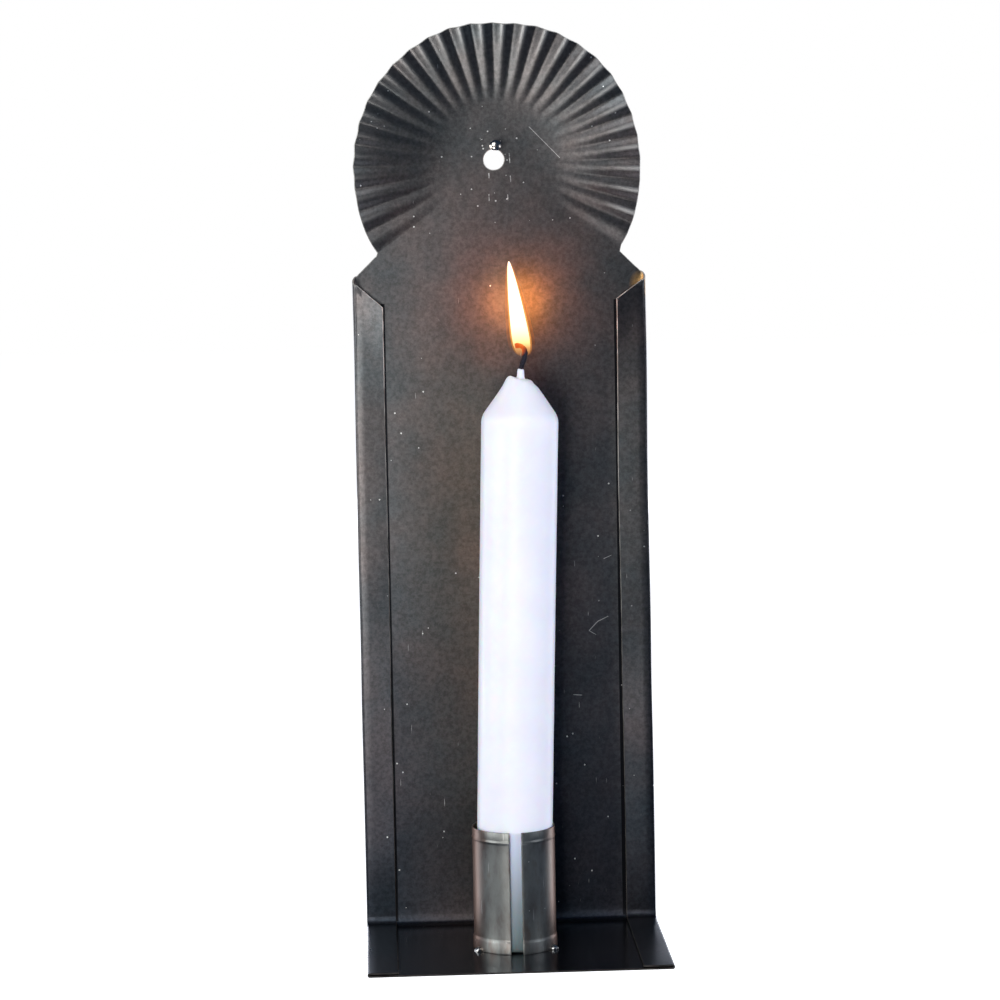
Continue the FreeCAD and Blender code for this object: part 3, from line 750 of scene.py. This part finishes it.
TACK_RADIUS = 1.25 * MM
TACK_SUNK = 0.2 * MM           # how far a solder bead reaches down into the shelf
solder_metal = soft_solder()
for number, name in enumerate(("solder_tack_left", "solder_tack_right")):
    low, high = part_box(name)
    middle = (low + high) / 2
    bpy.ops.mesh.primitive_uv_sphere_add(segments=32, ring_count=16, radius=TACK_RADIUS)
    tack = bpy.context.object
    tack.name = tack.data.name = f"{name}_shown"
    for vertex in tack.data.vertices:
        lump = 1 + 0.25 * wander(vertex.co, 1.1 * MM, 11 + number * 5)
        grown = vertex.co * lump
        grown.z = max(grown.z * 0.85, SHELF_TOP - low.z - TACK_SUNK)
        vertex.co = Vector((middle.x, middle.y, low.z + TACK_SUNK)) + grown
    tack.data.materials.append(solder_metal)
    round_shading(tack, 60)
    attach(tack, "sconce")
    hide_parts(name)


# ---------------------------------------------------------------- candle, wick and flame

lift = next(joint for joint in frame["joints"] if joint["name"] == "candle_lift")
UP = Vector(lift["axis"]).normalized()
LEAN = math.atan2(UP.x, UP.z)
CANDLE_RADIUS = (candle_high.y - candle_low.y) / 2
FOOT = Vector((CENTRE_X - 0.48 * MM, (candle_low.y + candle_high.y) / 2,
               candle_low.z + CANDLE_RADIUS * math.sin(LEAN)))
LEANING = Matrix.Translation(FOOT) @ Matrix.Rotation(LEAN, 4, "Y")
CANDLE_LENGTH = 165.0 * MM
SHOULDER_FOOT = CANDLE_LENGTH - 12.7 * MM
SHOULDER_ROUND = 6.0 * MM
SHOULDER_TURN = 36             # degrees from the candle's side to its cone
SIDE_STEPS = 24
TIP_RADIUS = 3.5 * MM
TIP_BANDS = [
    # radius and height over the candle's length, in mm: a dip inside the rim, then the wax stub
    (3.1, 0.15), (2.2, -0.1), (1.4, 0.1), (1.08, 0.8), (1.02, 1.9), (0.92, 2.6), (0.6, 2.9),
]
STUB_TOP = CANDLE_LENGTH + TIP_BANDS[-1][1] * MM

wax_profile = [(CANDLE_RADIUS - 0.5 * MM, 0), (CANDLE_RADIUS - 0.1 * MM, 0.3 * MM)]
wax_profile += [(CANDLE_RADIUS, mix(1.0 * MM, SHOULDER_FOOT, step / SIDE_STEPS))
                for step in range(SIDE_STEPS)]
wax_profile += [(CANDLE_RADIUS - SHOULDER_ROUND * (1 - math.cos(math.radians(turn))),
                 SHOULDER_FOOT + SHOULDER_ROUND * math.sin(math.radians(turn)))
                for turn in range(0, SHOULDER_TURN + 1, 4)]
cone_radius, cone_foot = wax_profile[-1]
wax_profile += [(mix(cone_radius, TIP_RADIUS, t), mix(cone_foot, CANDLE_LENGTH, t))
                for t in (0.25, 0.5, 0.75, 0.92, 1.0)]
wax_profile += [(radius * MM, CANDLE_LENGTH + height * MM) for radius, height in TIP_BANDS]

BOW = 0.45 * MM                # how far the candle's top bends aside
STUB_ASIDE = 0.1 * MM
SPREAD = 0.012                 # share by which the candle is wider at the top
TIP_SLOPE = -0.22              # how much the tip falls for each step to the right
candle = turned("candle_shown", 96, wax_profile)
for vertex in candle.data.vertices:
    point = vertex.co
    tip = smooth((point.z - CANDLE_LENGTH + 3 * MM) / (3 * MM))
    out = Vector((point.x, point.y, 0))
    wobble = 0.05 * MM + 0.22 * MM * tip * smooth(out.length / TIP_RADIUS)
    if 0.5 * MM < point.z:
        point += out.normalized() * wobble * (wander(point, 5 * MM, 3) - 0.3)
    uneven = TIP_SLOPE * point.x + 0.4 * MM * wander(point, 1.8 * MM, 9)
    point.z += tip * uneven * smooth(out.length / (2.2 * MM))
    up = min(max(point.z, 0) / CANDLE_LENGTH, 1)
    point.x = point.x * (1 + SPREAD * up) + BOW * up ** 2
    point.y *= 1 + SPREAD * up
    if point.z > CANDLE_LENGTH and out.length < 2 * MM:
        point.x += STUB_ASIDE
    vertex.co = LEANING @ point
candle.data.update()
candle.data.materials.append(white_wax())
round_shading(candle, 50)
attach(candle, "candle")
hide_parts("candle")

WICK_RADIUS = 0.74 * MM
WICK_ASIDE = BOW + STUB_ASIDE
WICK_COURSE = [
    # x from the stub and z above its top, in mm, and the strand's thickness as a share
    (0, -2.0, 0.85), (0.0, -0.3, 0.85), (0.4, 1.4, 1.0), (1.0, 3.0, 1.05), (1.25, 4.7, 1.05),
    (0.8, 6.0, 1.0), (-0.3, 6.65, 0.95), (-1.1, 6.6, 1.05), (-1.7, 6.45, 0.9),
]
curve = bpy.data.curves.new("wick_shown", "CURVE")
curve.dimensions = "3D"
curve.bevel_depth = WICK_RADIUS
curve.bevel_resolution = 6
curve.resolution_u = 8
curve.use_fill_caps = True
spline = curve.splines.new("NURBS")
spline.points.add(len(WICK_COURSE) - 1)
for point, (x, z, thick) in zip(spline.points, WICK_COURSE):
    point.co = (*(LEANING @ Vector((WICK_ASIDE + x * MM, 0, STUB_TOP + z * MM))), 1)
    point.radius = thick
spline.order_u = 3
spline.use_endpoint_u = True
wick = bpy.data.objects.new("wick_shown", curve)
bpy.context.collection.objects.link(wick)
bpy.context.view_layer.objects.active = wick
wick.select_set(True)
bpy.ops.object.convert(target="MESH")
wick = bpy.context.object
for vertex in wick.data.vertices:
    braid = 0.12 * MM * wander(vertex.co, 0.7 * MM, 21)
    vertex.co += vertex.normal * braid
bpy.ops.object.select_all(action="DESELECT")
end_x, end_z, _ = WICK_COURSE[-1]
wick_end = LEANING @ Vector((WICK_ASIDE + end_x * MM, 0, STUB_TOP + end_z * MM))
wick.data.materials.append(charred_cotton(wick_end))
round_shading(wick, 70)
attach(wick, "candle")
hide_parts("wick")

FLAME_FOOT = 3.35 * MM
FLAME_HEIGHT = 27.2 * MM
FLAME_BEHIND = 2.1 * MM
FLAME_LEAN = (0.9 * MM, -3.6 * MM)      # how far its foot and its point are aside of the wick
FLAME_OUTLINE = [
    # share of the height, radius in mm
    (0.00, 1.0), (0.03, 2.1), (0.07, 2.65), (0.12, 2.9), (0.20, 3.0), (0.30, 2.88), (0.40, 2.66),
    (0.50, 2.42), (0.60, 2.15), (0.70, 1.8), (0.80, 1.42), (0.88, 1.05), (0.94, 0.7), (0.98, 0.38),
    (1.00, 0.12),
]


def make_flame(name, swell, colours, alphas, strength):
    """One shell of the flame: a drop over the wick, drawn up to a point that leans to the left."""
    profile = [(radius * MM * swell, share * FLAME_HEIGHT) for share, radius in FLAME_OUTLINE]
    flame = turned(name, 48, profile)
    for vertex in flame.data.vertices:
        point = vertex.co
        point.x += WICK_ASIDE + mix(*FLAME_LEAN, point.z / FLAME_HEIGHT)
        point.y += FLAME_BEHIND
        vertex.co = LEANING @ (point + Vector((0, 0, STUB_TOP + FLAME_FOOT)))
    low = (LEANING @ Vector((0, 0, STUB_TOP + FLAME_FOOT))).z
    gas = flame_gas(name + "_gas", low, low + FLAME_HEIGHT, colours, alphas, strength)
    flame.data.materials.append(gas)
    round_shading(flame, 80)
    flame.visible_shadow = False
    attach(flame, "candle")


make_flame("flame_core", 0.84,
           [(0.0, "#e89a4a"), (0.12, "#ffd08a"), (0.28, "#fff0c4"), (0.5, "#fffbe6")],
           [(0.0, 0.0), (0.09, 0.12), (0.2, 0.65), (0.32, 1.0)], 3.0)
make_flame("flame_mantle", 1.0,
           [(0.0, "#c4742a"), (0.2, "#f0a24a"), (1.0, "#ffb35a")],
           [(0.0, 0.0), (0.06, 0.14), (0.2, 0.38), (0.9, 0.42), (1.0, 0.25)], 1.4)
make_flame("flame_halo", 1.32,
           [(0.0, "#b4601a"), (0.3, "#e8822a"), (1.0, "#ff9236")],
           [(0.0, 0.0), (0.1, 0.03), (0.3, 0.12), (0.9, 0.13), (1.0, 0.08)], 0.9)


# ---------------------------------------------------------------- stage, lights and camera

bpy.ops.mesh.primitive_plane_add(size=6, location=(0, 0, UNDERSIDE - 0.02 * MM))
floor = bpy.context.object
floor.name = "floor"
floor_paint = new_material("pale_floor", Base_Color=linear("#f4f4f2"), Roughness=0.9,
                           Emission_Color=linear("#fcfcfb"), Emission_Strength=1.0)[0]
floor.data.materials.append(floor_paint)
floor.visible_glossy = False
floor.visible_diffuse = False
floor.visible_shadow = False

# The wall's nail, which the plate hangs on. Its shank goes back through the hole, head towards -Y.
NAIL_RADIUS = 0.75 * MM
NAIL_TILT = math.radians(104)
bpy.ops.mesh.primitive_cylinder_add(vertices=24, radius=NAIL_RADIUS, depth=8 * MM)
nail = bpy.context.object
nail.name = nail.data.name = "wall_nail"
bpy.ops.object.mode_set(mode="EDIT")
bpy.ops.mesh.select_all(action="DESELECT")
bpy.ops.object.mode_set(mode="OBJECT")
for face in nail.data.polygons:
    face.select = face.normal.z > 0.9
bpy.ops.object.mode_set(mode="EDIT")
for rise, grow in ((0, 2.15), (0.45, 1.04), (0.4, 0.72), (0.15, 0.4)):
    bpy.ops.mesh.extrude_region_move(TRANSFORM_OT_translate={"value": (0, 0, rise * MM)})
    bpy.ops.transform.resize(value=(grow, grow, 1))
bpy.ops.object.mode_set(mode="OBJECT")
nail_turn = Matrix.Rotation(math.pi - NAIL_TILT, 4, "X")
nail_end = Vector((0.25 * MM, -0.2 * MM, HOLE_RADIUS - NAIL_RADIUS))
for vertex in nail.data.vertices:
    vertex.co = nail_end + (nail_turn @ (vertex.co + Vector((0, 0, 3.2 * MM))))
nail.data.update()
nail.data.materials.append(bright_steel())
round_shading(nail, 40)


def area_light(name, place, aim, size, power, colour, mirrored=True):
    """A square soft light; one that isn't mirrored lights the wax but leaves the metal dark."""
    data = bpy.data.lights.new(name, "AREA")
    data.size = size
    data.energy = power
    data.color = linear(colour)[:3]
    lamp = bpy.data.objects.new(name, data)
    lamp.location = place
    lamp.rotation_euler = (Vector(aim) - Vector(place)).to_track_quat("-Z", "Y").to_euler()
    lamp.visible_camera = False
    lamp.visible_glossy = mirrored
    bpy.context.collection.objects.link(lamp)


area_light("key", (-0.29, -0.90, -0.125), (0, 0, -0.08), 0.40, 2.95, "#fffcfb")
area_light("left_panel", (-0.85, -0.40, 0.05), (0, -0.03, -0.14), 0.6, 4.3, "#fbfcff")
area_light("sky_panel", (-0.30, -0.80, 0.62), (0, 0, 0), 0.6, 4.5, "#f6faff")
area_light("low_panel", (0.0, -0.55, -0.95), (0, 0, -0.10), 0.7, 2.2, "#f0f3ff")
area_light("right_panel", (0.9, -0.45, 0.1), (0, -0.03, -0.12), 0.4, 1.2, "#f0f4ff")
area_light("front_fill", (0.10, -1.2, 0.80), (0, 0, -0.1), 0.8, 1.3, "#f2f4ff", mirrored=False)
area_light("right_fill", (0.9, -0.35, 0.0), (0, -0.03, -0.12), 0.5, 5.2, "#eef0ff", mirrored=False)
for name, place in (("back_left", (-0.9, 0.8, -0.35)), ("back", (0.0, 1.2, -0.4)),
                    ("back_right", (0.9, 0.8, -0.35))):
    area_light(name, place, (0, 0, -0.12), 0.7, 5, "#f4f6ff")

# The flame's light on the plate: two lamps at its middle, aimed back so that they spare the wax.
flame_middle = LEANING @ Vector((1.4 * MM, FLAME_BEHIND, STUB_TOP + FLAME_FOOT + 0.5 * FLAME_HEIGHT))
for name, spread, power, size, tint in (("flame_glow", 95, 0.052, 8, "#ff9644"),
                                        ("flame_spill", 155, 0.050, 6, "#ff7038")):
    glow = bpy.data.lights.new(name, "SPOT")
    glow.energy = power
    glow.color = linear(tint)[:3]
    glow.shadow_soft_size = size * MM
    glow.spot_size = math.radians(spread)
    glow.spot_blend = 1.0
    glow_lamp = bpy.data.objects.new(name, glow)
    glow_lamp.location = flame_middle
    glow_lamp.rotation_euler = (math.radians(90), 0, 0)
    bpy.context.collection.objects.link(glow_lamp)

world = bpy.data.worlds.new("studio")
bpy.context.scene.world = world
world.use_nodes = True
sky = world.node_tree
background = sky.nodes["Background"]
path = node(sky, "ShaderNodeLightPath")
seen = node(sky, "ShaderNodeMix", {"data_type": "RGBA", 6: (0.02, 0.04, 0.08, 1), 7: (1, 1, 1, 1)},
            {0: path.outputs["Is Camera Ray"]})
sky.links.new(seen.outputs[2], background.inputs["Color"])

CAMERA_PLACE = Vector((-38.5, -942.8, 0.0)) * MM
CAMERA_YAW, CAMERA_PITCH, CAMERA_ROLL = 0.0408, -0.106, -0.019
lens = bpy.data.cameras.new("camera")
lens.lens = 115.2
lens.sensor_width = 36
camera = bpy.data.objects.new("camera", lens)
camera.location = CAMERA_PLACE
forward = Vector((math.sin(CAMERA_YAW) * math.cos(CAMERA_PITCH),
                  math.cos(CAMERA_YAW) * math.cos(CAMERA_PITCH), math.sin(CAMERA_PITCH)))
level = forward.to_track_quat("-Z", "Y").to_matrix()
camera.rotation_euler = (level @ Matrix.Rotation(CAMERA_ROLL, 3, "Z")).to_euler()
bpy.context.collection.objects.link(camera)
bpy.context.scene.camera = camera
bpy.context.scene.view_settings.view_transform = "Standard"
